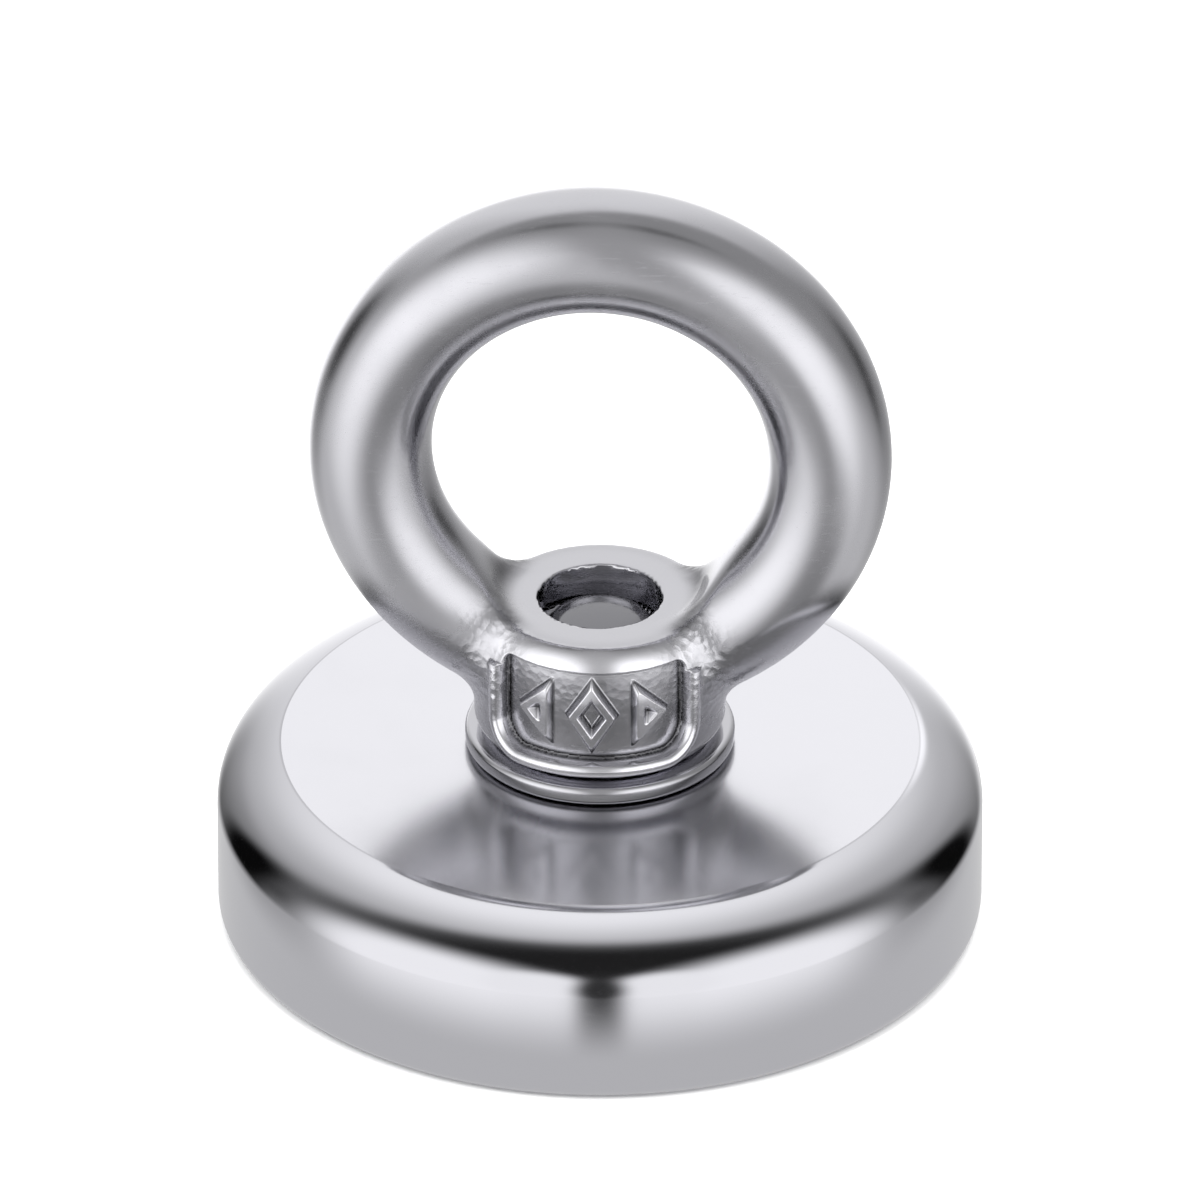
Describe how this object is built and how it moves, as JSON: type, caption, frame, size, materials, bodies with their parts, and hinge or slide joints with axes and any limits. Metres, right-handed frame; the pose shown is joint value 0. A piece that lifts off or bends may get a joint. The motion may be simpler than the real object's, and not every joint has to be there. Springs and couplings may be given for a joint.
{
  "type": "magnet fishing magnet",
  "caption": "Small round pot magnet in a nickel-plated steel cup, with a countersunk screw, a plain washer and a cast stainless eye nut for a rope.",
  "frame": {"origin": "centre of the pot's rim, the gripping face, which is also the bottom of the object's box", "axes": "+Z along the screw, from the gripping face to the top of the eye; the eye's ring stands in the XZ plane, so a rope passes through along Y; the front of the eye nut, with its recessed panel, faces -Y"},
  "size_m": [0.025, 0.025, 0.0264],
  "materials": {
    "nickel_plated_steel": "mirror-bright nickel plating on turned steel",
    "nickel_plated_magnet": "satin-bright nickel plating on sintered neodymium",
    "cast_stainless": "electropolished 304-type investment casting, slightly mottled at the blends",
    "stainless_washer": "bright tumbled",
    "stainless_screw": "bright cold-headed",
    "potting_resin": "black epoxy, self-levelled",
    "cured_adhesive": "cured two-part adhesive film"
  },
  "bodies": {
    "magnet_pot": {"pot_cup": "nickel_plated_steel", "ring_magnet": "nickel_plated_magnet", "bond_film": "cured_adhesive", "resin_ring": "potting_resin", "countersunk_screw": "stainless_screw"},
    "washer": {"plain_washer": "stainless_washer"},
    "eye": {"eye_nut": "cast_stainless"}
  },
  "joints": [
    {"name": "eye_turn", "type": "hinge", "parent": "magnet_pot", "child": "washer", "pos_m": [0, 0, 0.00695], "axis": [0, 0, 1], "range_deg": [0, 1800]},
    {"name": "eye_lift", "type": "slide", "parent": "washer", "child": "eye", "axis": [0, 0, 1], "range_m": [0, 0.0035]}
  ],
  "couplings": [
    {"joint": "eye_lift", "follows": "eye_turn", "m_per_rad": 0.00011141}
  ]
}
